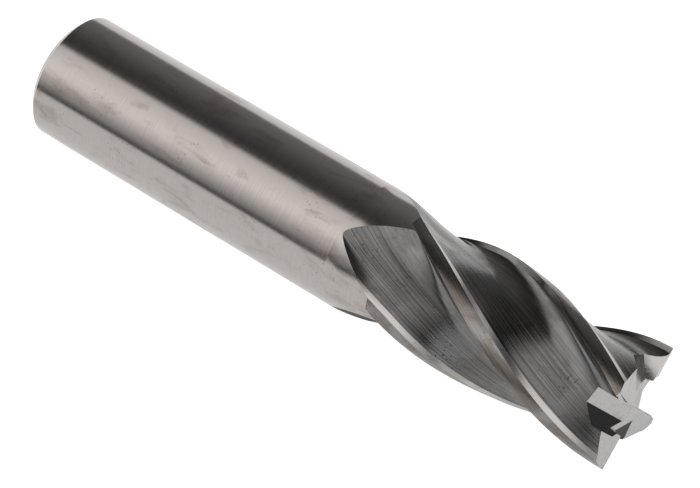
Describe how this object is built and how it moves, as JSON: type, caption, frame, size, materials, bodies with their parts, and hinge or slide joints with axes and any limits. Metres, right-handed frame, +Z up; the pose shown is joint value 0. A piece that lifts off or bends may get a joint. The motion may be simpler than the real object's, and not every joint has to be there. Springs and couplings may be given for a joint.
{
  "type": "end mill",
  "caption": "Solid carbide square end mill: plain round shank and helical teeth that cut on their sides and across the end face.",
  "frame": {"origin": "centre of the shank's flat back face, on the tool's axis", "axes": "+X along the tool's axis from the shank towards the end teeth; +Z up as the tool lies on a table; +Y completes a right-handed frame"},
  "size_m": [0.106, 0.02, 0.02],
  "materials": {
    "shank_ground": "bright ground cemented carbide with faint round-the-tool grinding lines, smudges and handling marks",
    "flute_ground": "wheel-ground cemented carbide, smooth tooth faces and fine grinding lines along the helix on the backs"
  },
  "bodies": {
    "root": {"shank": "shank_ground", "core": "flute_ground", "tooth_1": "flute_ground", "tooth_2": "flute_ground", "tooth_3": "flute_ground", "tooth_4": "flute_ground"}
  },
  "joints": []
}
